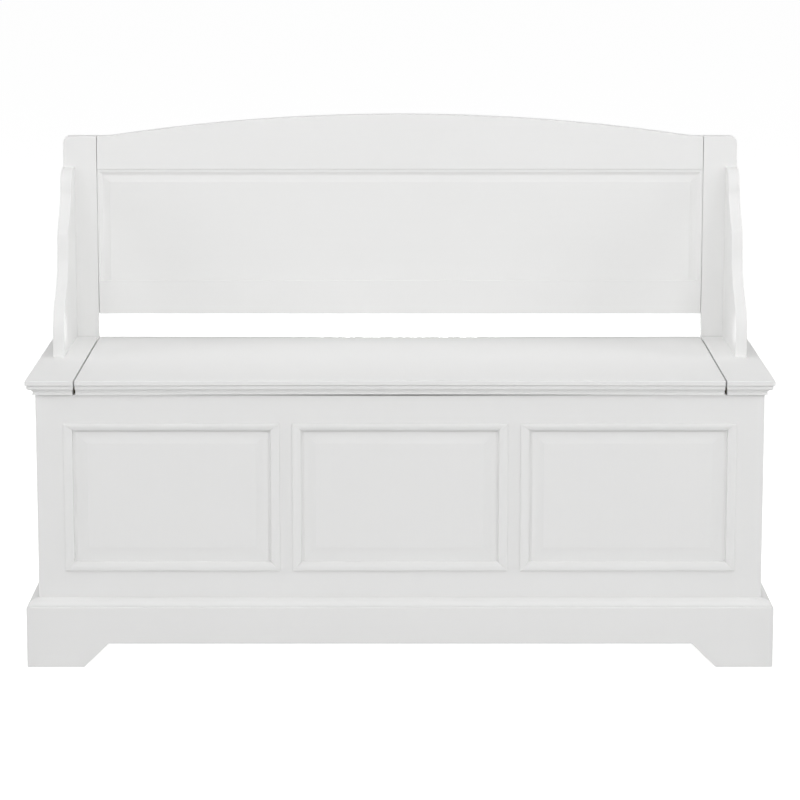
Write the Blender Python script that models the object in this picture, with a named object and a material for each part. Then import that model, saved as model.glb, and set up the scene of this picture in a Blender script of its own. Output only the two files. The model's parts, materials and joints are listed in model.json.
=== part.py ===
"""A painted hall bench: a panelled storage box with a lift-up seat, a panelled back and two wings.

Metres, +Z up. The bench faces -Y and its width runs along X. The origin is on the floor, below the
middle of the bench's outer box. Pieces that touch are modelled with a hair's gap, JOINT, between them.
"""

import math

import bmesh
import bpy
from mathutils import Matrix, Vector

# Whole bench
WIDTH = 1.270                 # across the plinth
DEPTH = 0.504                 # plinth face to the rear of the back
SEAT_HEIGHT = 0.496
BACK_HEIGHT = 0.901           # to the crown of the arch
JOINT = 0.0003                # left between pieces that touch
EASE = 0.001                  # eased edge of a board

# Plinth, its moulding and what it stands on
FLOOR_GAP = 0.002             # plinth to floor: the glides carry the bench
PLINTH_TOP = 0.106
PLINTH_THICK = 0.020
FOOT_WIDTH = 0.097            # bracket foot, at the floor
FOOT_SPLAY = 0.042            # by how much the foot widens up to the cut-out
CUTOUT_TOP = 0.043
REAR_PLINTH_THICK = 0.020
BASE_MOULDING_HEIGHT = 0.014
BASE_MOULDING_FILLET = 0.002  # upright edges at the foot of the moulding
BASE_MOULDING_LEDGE = 0.0025  # flat of the plinth left in front of the moulding
BASE_MOULDING_NECK = 0.002    # flat at the top of the moulding
BLOCK_SIZE = 0.045
GLIDE_RADIUS = 0.014
GLIDE_THICK = 0.004

# Box
CARCASS_BOTTOM = 0.045
FRAME_THICK = 0.020
SIDE_THICK = 0.020
BOX_BACK_THICK = 0.018
FLOOR_THICK = 0.012
CLEAT_SIZE = 0.020
FRONT_STILE_WIDTH = 0.0515
MUNTIN_WIDTH = 0.031
FRONT_TOP_RAIL_HEIGHT = 0.0527
FRONT_BOTTOM_RAIL_HEIGHT = 0.1262

# Front panels and the moulding frames laid over their joints
PANEL_THICK = 0.014
PANEL_SETBACK = 0.002         # raised field behind the face of the frame
BEVEL_WIDTH = 0.022
BEVEL_DEPTH = 0.005
BEAD_WIDTH = 0.015
BEAD_LAP = 0.005              # how far the bead lies over the frame
BEAD_PROUD = 0.005
BEAD_EDGE = 0.0025            # upright outer edge of the bead
BEAD_CROWN = 0.008            # from the bead's outer edge to where its inner slope starts

# Seat: end caps, lid and the cove under their edges
SEAT_THICK = 0.015
NOSING_OVERHANG = 0.016
NOSING_HEIGHT = 0.0075
NOSING_ROUND = 0.0025
NOSING_STEP = 0.003           # nosing in front of the fillet below it
COVE_HEIGHT = 0.0105
COVE_OUT = 0.0125
COVE_FILLET = 0.001
LID_MOULDING_BACK = 0.012     # how far the lid's cove strip reaches back over the front rail
LID_CLEARANCE = 0.0022        # cove strip to front rail
LID_SIDE_GAP = 0.002
LID_SWING_GAP = 0.001         # lid to back stile
LID_CORNER = 0.005
BEARER_THICK = 0.020
BEARER_HEIGHT = 0.040
BEARER_INSET = 0.002
BUMPER_RADIUS = 0.005
BUMPER_INSET = 0.147          # middle of the pad from the lid's end

# Hinges
HINGE_INSET = 0.217           # middle of the hinge from the lid's end
HINGE_LENGTH = 0.090
LEAF_WIDTH = 0.017
LEAF_THICK = 0.002
LEAF_GAP = 0.0006
KNUCKLES = 5
KNUCKLE_GAP = 0.0004
BARREL_RADIUS = 0.005
BARREL_GAP = 0.0005
PIN_RADIUS = 0.0025

# Back and wings
BACK_INSET = 0.007            # outer face of the stiles inside the face of the box
BACK_THICK = 0.026
BACK_RAIL_THICK = 0.022
BACK_STILE_WIDTH = 0.060
STILE_BOTTOM = 0.200
STILE_CORNER = 0.012
ARCH_RISE = 0.0393
ARCH_FLAT = 0.022             # level stretch between stile and arch
TOP_RAIL_END_HEIGHT = 0.060
BACK_OPENING = 0.043          # seat to the bottom rail
BOTTOM_RAIL_HEIGHT = 0.060
BACK_PANEL_THICK = 0.014
BACK_PANEL_SETBACK = 0.003
BACK_PANEL_MARGIN = 0.012
BACK_BEVEL_WIDTH = 0.011
BACK_BEVEL_DEPTH = 0.005
WING_THICK = 0.020
WING_DROP = 0.055             # top of the wing below the top of the stile
WING_FOOT = 0.228             # length of the wing along the seat
WING_TOP = 0.061              # length of the wing at its top
WING_TOP_ROUND = 0.038
WING_SHOULDER_OUT = 0.126
WING_SHOULDER_DROP = 0.104    # shoulder below the top of the wing
WING_TOE = 0.036              # upright stretch above the seat
WING_EASE = 0.002
SHOULDER_PULL = 0.35          # curve handle above the shoulder, as a share of its height
OGEE_UPPER_PULL = 0.74        # curve handles of the ogee, as shares of its height
OGEE_LOWER_PULL = 0.47
BOLT_HEAD_RADIUS = 0.0085
BOLT_HEAD_THICK = 0.003
BOLT_RADIUS = 0.003
BOLT_BITE = 0.012             # how far the bolt reaches into the box's back
BOLT_SINK = 0.001             # head below the stile's rear face
BOLT_MARGIN = 0.050           # bolts from the ends of the joint

ROUND_SIDES = 20
ARC_STEPS = 6
CURVE_STEPS = 12
SMOOTH_ANGLE = math.radians(35)

# Planes that several pieces share
BOX_HALF = WIDTH / 2 - PLINTH_THICK
BOX_FRONT = -DEPTH / 2 + PLINTH_THICK
FRAME_REAR = BOX_FRONT + FRAME_THICK
BACK_REAR = DEPTH / 2
BACK_FRONT = BACK_REAR - BACK_THICK
BOX_REAR = BACK_FRONT - JOINT
BOX_BACK_FRONT = BOX_REAR - BOX_BACK_THICK
INSIDE_HALF = BOX_HALF - SIDE_THICK
SEAT_UNDER = SEAT_HEIGHT - SEAT_THICK
FRONT_RAIL_TOP = SEAT_UNDER - COVE_HEIGHT - LID_CLEARANCE
FRONT_OPENING_TOP = FRONT_RAIL_TOP - FRONT_TOP_RAIL_HEIGHT
FRONT_OPENING_BOTTOM = CARCASS_BOTTOM + FRONT_BOTTOM_RAIL_HEIGHT
FRONT_OPENING_HALF = BOX_HALF - FRONT_STILE_WIDTH
PANEL_OPENING = (2 * FRONT_OPENING_HALF - 2 * MUNTIN_WIDTH) / 3
BACK_HALF = BOX_HALF - BACK_INSET
BACK_INNER = BACK_HALF - BACK_STILE_WIDTH
LID_HALF = BACK_INNER - LID_SWING_GAP
CAP_INNER = LID_HALF + LID_SIDE_GAP
STILE_TOP = BACK_HEIGHT - ARCH_RISE
HINGE_REAR = BOX_REAR + BARREL_GAP + BARREL_RADIUS
HINGE_LEVEL = SEAT_UNDER - JOINT - LEAF_THICK - LEAF_GAP / 2
HINGE_AXIS = Vector((0, HINGE_REAR, HINGE_LEVEL))
BOX_BACK_TOP = HINGE_LEVEL - LEAF_GAP / 2 - LEAF_THICK - JOINT
SIDES = {"left": -1, "right": 1}


def clear_scene():
    """Removes whatever the scene holds."""
    for obj in list(bpy.data.objects):
        bpy.data.objects.remove(obj, do_unlink=True)


def finish(name, colour, roughness, metallic=0.0):
    """A material of one colour, roughness and metallic value."""
    material = bpy.data.materials.new(name)
    material.use_nodes = True
    shader = material.node_tree.nodes["Principled BSDF"]
    shader.inputs["Base Color"].default_value = (*colour, 1.0)
    shader.inputs["Roughness"].default_value = roughness
    shader.inputs["Metallic"].default_value = metallic
    return material


def piece(name, bm, material, parent=None):
    """Makes a mesh drawn in bench coordinates a named object.

    Its origin is the middle of its box or, for a piece with a parent, the parent's own place.
    """
    bmesh.ops.recalc_face_normals(bm, faces=bm.faces)
    if parent:
        origin = parent.location.copy()
    else:
        low = Vector([min(v.co[i] for v in bm.verts) for i in range(3)])
        high = Vector([max(v.co[i] for v in bm.verts) for i in range(3)])
        origin = (low + high) / 2
    bmesh.ops.translate(bm, verts=bm.verts, vec=-origin)
    mesh = bpy.data.meshes.new(name)
    bm.to_mesh(mesh)
    bm.free()
    mesh.shade_smooth()
    mesh.set_sharp_from_angle(angle=SMOOTH_ANGLE)
    mesh.materials.append(material)
    obj = bpy.data.objects.new(name, mesh)
    bpy.context.collection.objects.link(obj)
    if parent:
        obj.parent = parent
    else:
        obj.location = origin
    return obj


def guide(obj):
    """Hides an object that only cuts or joins another."""
    obj.hide_render = True
    obj.display_type = "WIRE"
    return obj


def combine(obj, other, operation):
    """Joins another object to this one or cuts it away."""
    modifier = obj.modifiers.new(other.name, "BOOLEAN")
    modifier.operation = operation
    modifier.solver = "EXACT"
    modifier.object = other


def loft(loops, ring=False):
    """A closed solid through loops of equal length, capped at its ends or run round as a ring."""
    bm = bmesh.new()
    rows = [[bm.verts.new(point) for point in loop] for loop in loops]
    pairs = list(zip(rows, rows[1:]))
    if ring:
        pairs.append((rows[-1], rows[0]))
    else:
        bm.faces.new(rows[0])
        bm.faces.new(rows[-1])
    for low, high in pairs:
        for i in range(len(low)):
            j = (i + 1) % len(low)
            bm.faces.new((low[i], low[j], high[j], high[i]))
    return bm


def boxed(x, y, z, ease=EASE):
    """A rectangular board between the limits given for each axis, with eased edges."""
    limits = [x, y, z]
    size = Vector([high - low for low, high in limits])
    centre = Vector([(low + high) / 2 for low, high in limits])
    bm = bmesh.new()
    bmesh.ops.create_cube(bm, size=1, matrix=Matrix.LocRotScale(centre, None, size))
    bmesh.ops.bevel(bm, geom=bm.edges, offset=ease, segments=1, affect="EDGES")
    return bm


def swept(profile, corners, ring=False):
    """Carries a profile of (u, v) points along a path.

    Each corner of the path is a point with the two directions that u and v take there, so a mitre is a
    corner whose u runs along the diagonal.
    """
    loops = [[point + u * across + v * up for u, v in profile] for point, across, up in corners]
    return loft(loops, ring)


def turned(profile, centre, axis):
    """A solid of revolution through (radius, height) points about an axis."""
    side = axis.orthogonal().normalized()
    other = axis.cross(side)
    turns = [2 * math.pi * i / ROUND_SIDES for i in range(ROUND_SIDES)]
    rims = [side * math.cos(turn) + other * math.sin(turn) for turn in turns]
    return loft([[centre + axis * height + rim * radius for rim in rims] for radius, height in profile])


def arc(centre, radius, start, end, steps=ARC_STEPS):
    """Points of a circular arc, from one angle to the other in degrees."""
    angles = [math.radians(start + (end - start) * i / steps) for i in range(steps + 1)]
    return [(centre[0] + radius * math.cos(a), centre[1] + radius * math.sin(a)) for a in angles]


def bezier(start, pull_start, pull_end, end, steps=CURVE_STEPS):
    """Points of a cubic curve between two points, with a handle at each."""
    ends = [Vector(point) for point in (start, pull_start, pull_end, end)]
    shares = [i / steps for i in range(steps + 1)]
    curve = []
    for t in shares:
        s = 1 - t
        point = s**3 * ends[0] + 3 * s * s * t * ends[1] + 3 * s * t * t * ends[2] + t**3 * ends[3]
        curve.append(tuple(point))
    return curve


def between(low, high):
    """The space from low to high, less the gap that a joint leaves at each end."""
    return (low + JOINT, high - JOINT)


def mirrored(side, low, high):
    """X limits of a piece at one side, given from the middle outwards."""
    return tuple(sorted((side * low, side * high)))


def make_plinth():
    """Boards with bracket feet round the front and sides, mitred, and a plain rail across the rear."""
    foot_rise = [(FOOT_WIDTH, FLOOR_GAP), (FOOT_WIDTH + FOOT_SPLAY, CUTOUT_TOP)]

    def front_loop(out):
        half = BOX_HALF + out - JOINT
        y = BOX_FRONT - out
        cut = [(WIDTH / 2 - inward, z) for inward, z in foot_rise]
        right = [*reversed(cut), (half, FLOOR_GAP), (half, PLINTH_TOP)]
        outline = right + [(-x, z) for x, z in reversed(right)]
        return [Vector((x, y, z)) for x, z in outline]

    def side_loop(side, out):
        x = side * (BOX_HALF + out)
        front = BOX_FRONT - out + JOINT
        near = [(-DEPTH / 2 + inward, z) for inward, z in foot_rise]
        far = [(BOX_REAR - inward, z) for inward, z in reversed(foot_rise)]
        outline = [(front, FLOOR_GAP), *near, *far, (BOX_REAR, FLOOR_GAP)]
        outline += [(BOX_REAR, PLINTH_TOP), (front, PLINTH_TOP)]
        return [Vector((x, y, z)) for y, z in outline]

    piece("plinth_front", loft([front_loop(JOINT), front_loop(PLINTH_THICK)]), PAINT)
    for word, side in SIDES.items():
        piece(f"plinth_{word}", loft([side_loop(side, JOINT), side_loop(side, PLINTH_THICK)]), PAINT)
    rear = boxed(
        between(-BOX_HALF, BOX_HALF),
        (BOX_REAR - REAR_PLINTH_THICK, BOX_REAR),
        (FLOOR_GAP, CARCASS_BOTTOM - JOINT),
    )
    piece("plinth_rear", rear, PAINT)


def make_base_moulding():
    """Ogee strips on the plinth, mitred at the front corners."""
    toe = PLINTH_THICK - BASE_MOULDING_LEDGE
    foot, top = PLINTH_TOP + JOINT, PLINTH_TOP + BASE_MOULDING_HEIGHT
    low = foot + BASE_MOULDING_FILLET
    middle = (toe + BASE_MOULDING_NECK) / 2
    ogee = bezier((toe, low), (middle, low), (middle, top), (BASE_MOULDING_NECK, top))
    profile = [(JOINT, foot), (toe, foot), *ogee, (JOINT, top)]
    up = Vector((0, 0, 1))
    front = []
    for side in (-1, 1):
        front.append((Vector((side * (BOX_HALF - JOINT), BOX_FRONT, 0)), Vector((side, -1, 0)), up))
    piece("base_moulding_front", swept(profile, front), PAINT)
    for word, side in SIDES.items():
        mitre = (Vector((side * BOX_HALF, BOX_FRONT + JOINT, 0)), Vector((side, -1, 0)), up)
        end = (Vector((side * BOX_HALF, BOX_REAR, 0)), Vector((side, 0, 0)), up)
        piece(f"base_moulding_{word}", swept(profile, [mitre, end]), PAINT)


def make_feet():
    """A glue block in each corner of the plinth, with a round glide under it."""
    rows = {
        "front": between(BOX_FRONT, BOX_FRONT + BLOCK_SIZE),
        "rear": between(BOX_REAR - REAR_PLINTH_THICK - BLOCK_SIZE, BOX_REAR - REAR_PLINTH_THICK),
    }
    down = Vector((0, 0, -1))
    rim = GLIDE_RADIUS - EASE
    for row, y in rows.items():
        for word, side in SIDES.items():
            x = mirrored(side, BOX_HALF - BLOCK_SIZE, BOX_HALF - JOINT)
            block = boxed(x, y, (GLIDE_THICK + JOINT, CARCASS_BOTTOM - JOINT))
            piece(f"corner_block_{row}_{word}", block, BARE_WOOD)
            top = Vector((sum(x) / 2, sum(y) / 2, GLIDE_THICK))
            disc = [(GLIDE_RADIUS, 0), (GLIDE_RADIUS, GLIDE_THICK - EASE), (rim, GLIDE_THICK)]
            piece(f"foot_glide_{row}_{word}", turned(disc, top, down), GLIDE_NYLON)


def make_front_frame():
    """Rails, stiles and muntins that hold the three front panels."""
    y = (BOX_FRONT, FRAME_REAR)
    x = between(-FRONT_OPENING_HALF, FRONT_OPENING_HALF)
    piece("front_top_rail", boxed(x, y, (FRONT_OPENING_TOP, FRONT_RAIL_TOP)), PAINT)
    piece("front_bottom_rail", boxed(x, y, (CARCASS_BOTTOM, FRONT_OPENING_BOTTOM)), PAINT)
    height = (CARCASS_BOTTOM, SEAT_UNDER - JOINT)
    muntin_height = between(FRONT_OPENING_BOTTOM, FRONT_OPENING_TOP)
    for word, side in SIDES.items():
        stile = boxed(mirrored(side, FRONT_OPENING_HALF, BOX_HALF), y, height)
        piece(f"front_stile_{word}", stile, PAINT)
        muntin_x = mirrored(side, PANEL_OPENING / 2, PANEL_OPENING / 2 + MUNTIN_WIDTH)
        piece(f"front_muntin_{word}", boxed(muntin_x, y, muntin_height), PAINT)


def raised_panel(x, z, face, thick, margin, bevel, depth):
    """A panel whose flat margin and bevel rise to a field at the given face, towards -Y."""
    levels = [
        (0, face + thick),
        (0, face + depth),
        (margin, face + depth),
        (margin + bevel, face),
    ]
    loops = []
    for inset, y in levels:
        left, right = x[0] + inset, x[1] - inset
        low, high = z[0] + inset, z[1] - inset
        corners = [(left, low), (right, low), (right, high), (left, high)]
        loops.append([Vector((across, y, up)) for across, up in corners])
    return loft(loops)


def make_front_panels():
    """Raised panels in the front frame, each with a mitred moulding frame over its joint."""
    margin = BEAD_WIDTH - BEAD_LAP
    rebate = -(PANEL_SETBACK + BEVEL_DEPTH) + JOINT
    edge = (0, BEAD_EDGE)
    crown = (BEAD_CROWN, BEAD_PROUD)
    pull_edge, pull_crown = (0, BEAD_PROUD), (BEAD_CROWN / 2, BEAD_PROUD)
    slope_end = (BEAD_WIDTH, rebate / 2)
    section = [(0, JOINT), *bezier(edge, pull_edge, pull_crown, crown, ARC_STEPS), slope_end]
    section += [(BEAD_WIDTH, rebate), (BEAD_LAP + JOINT, rebate), (BEAD_LAP + JOINT, JOINT)]
    step = PANEL_OPENING + MUNTIN_WIDTH
    out = Vector((0, -1, 0))
    low, high = FRONT_OPENING_BOTTOM, FRONT_OPENING_TOP
    for word, place in (("left", -1), ("centre", 0), ("right", 1)):
        left = place * step - PANEL_OPENING / 2
        right = left + PANEL_OPENING
        field = BOX_FRONT + PANEL_SETBACK
        panel = raised_panel(
            between(left, right), between(low, high), field, PANEL_THICK, margin, BEVEL_WIDTH, BEVEL_DEPTH
        )
        piece(f"front_panel_{word}", panel, PAINT)
        corners = []
        for across, up in ((1, 1), (-1, 1), (-1, -1), (1, -1)):
            x = left - BEAD_LAP if across > 0 else right + BEAD_LAP
            z = low - BEAD_LAP if up > 0 else high + BEAD_LAP
            corners.append((Vector((x, BOX_FRONT, z)), Vector((across, 0, up)), out))
        piece(f"panel_moulding_{word}", swept(section, corners, ring=True), PAINT)


def make_carcass():
    """The sides, back and floor of the storage box, and the cleats under the floor."""
    for word, side in SIDES.items():
        x = mirrored(side, INSIDE_HALF, BOX_HALF)
        panel = boxed(x, (FRAME_REAR + JOINT, BOX_REAR), (CARCASS_BOTTOM, SEAT_UNDER - JOINT))
        piece(f"side_panel_{word}", panel, PAINT)
    inside = between(-INSIDE_HALF, INSIDE_HALF)
    board = boxed(inside, (BOX_BACK_FRONT, BOX_REAR), (CARCASS_BOTTOM, BOX_BACK_TOP))
    back = piece("box_back", board, PAINT)
    cleat_z = (CARCASS_BOTTOM, CARCASS_BOTTOM + CLEAT_SIZE)
    cleats = {
        "front": (FRAME_REAR + JOINT, FRAME_REAR + JOINT + CLEAT_SIZE),
        "rear": (BOX_BACK_FRONT - JOINT - CLEAT_SIZE, BOX_BACK_FRONT - JOINT),
    }
    for row, y in cleats.items():
        piece(f"floor_cleat_{row}", boxed(inside, y, cleat_z), BARE_WOOD)
    floor_low = cleat_z[1] + JOINT
    floor = boxed(inside, between(FRAME_REAR, BOX_BACK_FRONT), (floor_low, floor_low + FLOOR_THICK))
    piece("box_floor", floor, PAINT)
    return back


def nosing_profile():
    """(out, height) points up the edge of the seat boards: a fillet, a step and a rounded nosing."""
    lip = SEAT_HEIGHT - NOSING_HEIGHT
    rounds = NOSING_OVERHANG - NOSING_ROUND
    fillet = NOSING_OVERHANG - NOSING_STEP
    under = arc((rounds, lip + NOSING_ROUND), NOSING_ROUND, -90, 0, ARC_STEPS // 2)
    over = arc((rounds, SEAT_HEIGHT - NOSING_ROUND), NOSING_ROUND, 0, 90, ARC_STEPS // 2)
    return [(fillet, SEAT_UNDER), (fillet, lip), *under, *over]


def cove_profile(back):
    """(out, height) points of the cove strip, from the given line behind the box's face."""
    top, bottom = SEAT_UNDER - JOINT, SEAT_UNDER - COVE_HEIGHT
    radius = COVE_HEIGHT - JOINT - 2 * COVE_FILLET
    hollow = arc((COVE_OUT, bottom + COVE_FILLET), radius, 90, 180)
    return [(back, top), (COVE_OUT, top), *hollow, (COVE_OUT - radius, bottom), (back, bottom)]


def make_end_caps():
    """The fixed ends of the seat, the cove under their edges and a bearer under their inner edge."""
    up = Vector((0, 0, 1))
    cove = cove_profile(JOINT)
    for word, side in SIDES.items():
        loops = []
        for out, z in nosing_profile():
            outer, front = BOX_HALF + out, BOX_FRONT - out
            plan = [(CAP_INNER, front), (outer, front), (outer, BOX_REAR), (CAP_INNER, BOX_REAR)]
            loops.append([Vector((side * x, y, z)) for x, y in plan])
        piece(f"end_cap_{word}", loft(loops), PAINT)
        start = (Vector((side * CAP_INNER, BOX_FRONT, 0)), Vector((0, -1, 0)), up)
        corner = (Vector((side * BOX_HALF, BOX_FRONT, 0)), Vector((side, -1, 0)), up)
        end = (Vector((side * BOX_HALF, BOX_REAR, 0)), Vector((side, 0, 0)), up)
        piece(f"cap_moulding_{word}", swept(cove, [start, corner, end]), PAINT)
        near = CAP_INNER + BEARER_INSET
        bearer_z = (SEAT_UNDER - JOINT - BEARER_HEIGHT, SEAT_UNDER - JOINT)
        bearer_x = mirrored(side, near, near + BEARER_THICK)
        bearer = boxed(bearer_x, between(FRAME_REAR, BOX_BACK_FRONT), bearer_z)
        piece(f"cap_bearer_{word}", bearer, BARE_WOOD)


def make_lid(pivot):
    """The lid board with its nosing, the cove strip under its front edge and the pads that it closes on."""
    loops = []
    for out, z in nosing_profile():
        front = BOX_FRONT - out
        middle = (LID_HALF - LID_CORNER, BOX_REAR - LID_CORNER)
        right = [(LID_HALF, front), *arc(middle, LID_CORNER, 0, 90, ARC_STEPS // 2)]
        plan = right + [(-x, y) for x, y in reversed(right)]
        loops.append([Vector((x, y, z)) for x, y in plan])
    piece("lid_board", loft(loops), PAINT, pivot)
    out, up = Vector((0, -1, 0)), Vector((0, 0, 1))
    ends = [(Vector((side * LID_HALF, BOX_FRONT, 0)), out, up) for side in (-1, 1)]
    piece("lid_moulding", swept(cove_profile(-LID_MOULDING_BACK), ends), PAINT, pivot)
    pad = [(BUMPER_RADIUS, JOINT), (BUMPER_RADIUS, LID_CLEARANCE - JOINT)]
    for word, side in SIDES.items():
        seat = Vector((side * (LID_HALF - BUMPER_INSET), BOX_FRONT + LID_MOULDING_BACK / 2, FRONT_RAIL_TOP))
        piece(f"lid_bumper_{word}", turned(pad, seat, up), BUMPER_FELT)


def make_leaf(name, x, own, facing, parent=None):
    """One leaf of a hinge: a plate and the knuckles that it owns, bored for the pin.

    Facing is 1 for the leaf above the joint's middle plane and -1 for the one below it.
    """
    gap, reach = facing * LEAF_GAP / 2, facing * (LEAF_GAP / 2 + LEAF_THICK)
    z = tuple(sorted((HINGE_AXIS.z + gap, HINGE_AXIS.z + reach)))
    edge = HINGE_AXIS.y - BARREL_RADIUS - BARREL_GAP
    leaf = piece(name, boxed(x, (edge - LEAF_WIDTH, edge), z, ease=LEAF_GAP / 2), HINGE_STEEL, parent)
    pitch = (x[1] - x[0]) / KNUCKLES
    web = LEAF_GAP / 2 + LEAF_THICK / 4, LEAF_GAP / 2 + LEAF_THICK * 3 / 4
    entry, leave = [180 - math.degrees(math.asin(height / BARREL_RADIUS)) for height in web]
    barrel = arc((0, 0), BARREL_RADIUS, entry, leave + 360, ROUND_SIDES)
    root = edge - HINGE_AXIS.y - LEAF_WIDTH / 4
    outline = [(root, web[0]), *barrel, (root, web[1])]
    for index in own:
        ends = (x[0] + index * pitch + KNUCKLE_GAP / 2, x[0] + (index + 1) * pitch - KNUCKLE_GAP / 2)
        loops = []
        for end in ends:
            base = Vector((end, HINGE_AXIS.y, HINGE_AXIS.z))
            loops.append([base + Vector((0, y, facing * height)) for y, height in outline])
        knuckle = piece(f"{name}_knuckle_{index}", loft(loops), HINGE_STEEL, parent)
        combine(leaf, guide(knuckle), "UNION")
    start = Vector((x[0], HINGE_AXIS.y, HINGE_AXIS.z))
    length, radius = x[1] - x[0], PIN_RADIUS + JOINT
    bore = turned([(radius, -length), (radius, 2 * length)], start, Vector((1, 0, 0)))
    combine(leaf, guide(piece(f"{name}_bore", bore, HINGE_STEEL, parent)), "DIFFERENCE")


def make_hinges(pivot):
    """Two friction butt hinges between the lid and the top edge of the box's back."""
    for word, side in SIDES.items():
        centre = side * (LID_HALF - HINGE_INSET)
        x = (centre - HINGE_LENGTH / 2, centre + HINGE_LENGTH / 2)
        make_leaf(f"hinge_{word}_box_leaf", x, range(0, KNUCKLES, 2), -1)
        make_leaf(f"hinge_{word}_lid_leaf", x, range(1, KNUCKLES, 2), 1, pivot)
        start = Vector((x[0], HINGE_AXIS.y, HINGE_AXIS.z))
        pin = turned([(PIN_RADIUS, 0), (PIN_RADIUS, HINGE_LENGTH)], start, Vector((1, 0, 0)))
        piece(f"hinge_{word}_pin", pin, HINGE_STEEL)


def extruded(outline, low, high, axis):
    """An outline pushed from low to high along X or along Y; the other two axes are the outline's."""
    loops = []
    for at in (low, high):
        if axis == "X":
            loops.append([Vector((at, y, z)) for y, z in outline])
        else:
            loops.append([Vector((x, at, z)) for x, z in outline])
    return loft(loops)


def eased(bm, width):
    """Eases the rims of an extruded solid's two end faces."""
    bm.faces.ensure_lookup_table()
    rims = {edge for face in bm.faces[:2] for edge in face.edges}
    bmesh.ops.bevel(bm, geom=list(rims), offset=width, segments=1, affect="EDGES")
    return bm


def arch_outline():
    """The arched top rail: level at both ends, with one arc between them."""
    half = BACK_INNER - JOINT
    chord = half - ARCH_FLAT
    radius = (chord**2 + ARCH_RISE**2) / (2 * ARCH_RISE)
    spread = math.degrees(math.asin(chord / radius))
    crown = arc((0, BACK_HEIGHT - radius), radius, 90 - spread, 90 + spread, 2 * CURVE_STEPS)
    bottom = STILE_TOP - TOP_RAIL_END_HEIGHT
    return [(-half, bottom), (half, bottom), (half, STILE_TOP), *crown, (-half, STILE_TOP)]


def make_back(box_back):
    """Two stiles bolted to the box, an arched top rail, a bottom rail and a raised panel between them."""
    rail_rear = BACK_FRONT + BACK_RAIL_THICK
    rail_low = SEAT_HEIGHT + BACK_OPENING
    rail_high = rail_low + BOTTOM_RAIL_HEIGHT
    rail_x = between(-BACK_INNER, BACK_INNER)
    piece("back_top_rail", eased(extruded(arch_outline(), BACK_FRONT, rail_rear, "Y"), EASE), PAINT)
    piece("back_bottom_rail", boxed(rail_x, (BACK_FRONT, rail_rear), (rail_low, rail_high)), PAINT)
    panel = raised_panel(
        rail_x,
        between(rail_high, STILE_TOP - TOP_RAIL_END_HEIGHT),
        BACK_FRONT + BACK_PANEL_SETBACK,
        BACK_PANEL_THICK,
        BACK_PANEL_MARGIN,
        BACK_BEVEL_WIDTH,
        BACK_BEVEL_DEPTH,
    )
    piece("back_panel", panel, PAINT)
    corner = (BACK_HALF - STILE_CORNER, STILE_TOP - STILE_CORNER)
    outline = [(BACK_INNER, STILE_BOTTOM), (BACK_HALF, STILE_BOTTOM)]
    outline += [*arc(corner, STILE_CORNER, 0, 90), (BACK_INNER, STILE_TOP)]
    heights = {"lower": STILE_BOTTOM + BOLT_MARGIN, "upper": BOX_BACK_TOP - BOLT_MARGIN}
    head_out = BACK_REAR - BOLT_SINK
    forward = Vector((0, -1, 0))
    for word, side in SIDES.items():
        mirrored_outline = [(side * x, z) for x, z in outline]
        board = eased(extruded(mirrored_outline, BACK_FRONT, BACK_REAR, "Y"), EASE)
        stile = piece(f"back_stile_{word}", board, PAINT)
        for level, z in heights.items():
            name = f"back_bolt_{level}_{word}"
            start = Vector((side * (BACK_INNER + BACK_HALF) / 2, head_out, z))
            tip = head_out - BOX_REAR + BOLT_BITE
            piece(name, turned(bolt_profile(tip), start, forward), BOLT_STEEL)
            hole = guide(piece(f"{name}_hole", turned(bolt_hole(tip), start, forward), BOLT_STEEL))
            combine(stile, hole, "DIFFERENCE")
            combine(box_back, hole, "DIFFERENCE")


def bolt_profile(tip):
    """(radius, depth) points of a flat-headed bolt, from the head's face to its tip."""
    head = [(BOLT_HEAD_RADIUS, 0), (BOLT_HEAD_RADIUS, BOLT_HEAD_THICK)]
    return head + [(BOLT_RADIUS, BOLT_HEAD_THICK), (BOLT_RADIUS, tip)]


def bolt_hole(tip):
    """The hole that takes the bolt, sunk from outside the stile's rear face."""
    head, shank = BOLT_HEAD_RADIUS + JOINT, BOLT_RADIUS + JOINT
    seat = BOLT_HEAD_THICK + JOINT
    return [(head, -2 * BOLT_SINK), (head, seat), (shank, seat), (shank, tip + JOINT)]


def wing_outline():
    """(y, z) points of a wing: an ogee from the toe to the shoulder, a hollow to the rounded top."""
    top = STILE_TOP - WING_DROP
    seat = SEAT_HEIGHT + JOINT
    rear = BACK_FRONT - JOINT
    toe = (WING_FOOT, seat + WING_TOE)
    shoulder = (WING_SHOULDER_OUT, top - WING_SHOULDER_DROP)
    crook = (WING_TOP, top - WING_TOP_ROUND)
    rise = shoulder[1] - toe[1]
    ogee = bezier(
        toe,
        (toe[0], toe[1] + OGEE_LOWER_PULL * rise),
        (shoulder[0], shoulder[1] - OGEE_UPPER_PULL * rise),
        shoulder,
        2 * CURVE_STEPS,
    )
    climb = crook[1] - shoulder[1]
    hollow_pull = (crook[0], crook[1] - SHOULDER_PULL * climb)
    hollow = bezier(shoulder, shoulder, hollow_pull, crook, ARC_STEPS)
    crown = arc((WING_TOP - WING_TOP_ROUND, top - WING_TOP_ROUND), WING_TOP_ROUND, 0, 90)
    front = [(WING_FOOT, seat), *ogee, *hollow[1:], *crown[1:]]
    forward = [(0, seat), *front, (0, top)]
    return [(rear - out, z) for out, z in forward]


def make_wings():
    """The S-shaped boards at the ends of the seat, screwed to the stiles and the end caps."""
    for word, side in SIDES.items():
        x = mirrored(side, BACK_HALF - WING_THICK, BACK_HALF)
        piece(f"wing_{word}", eased(extruded(wing_outline(), *x, "X"), WING_EASE), PAINT)


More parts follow.
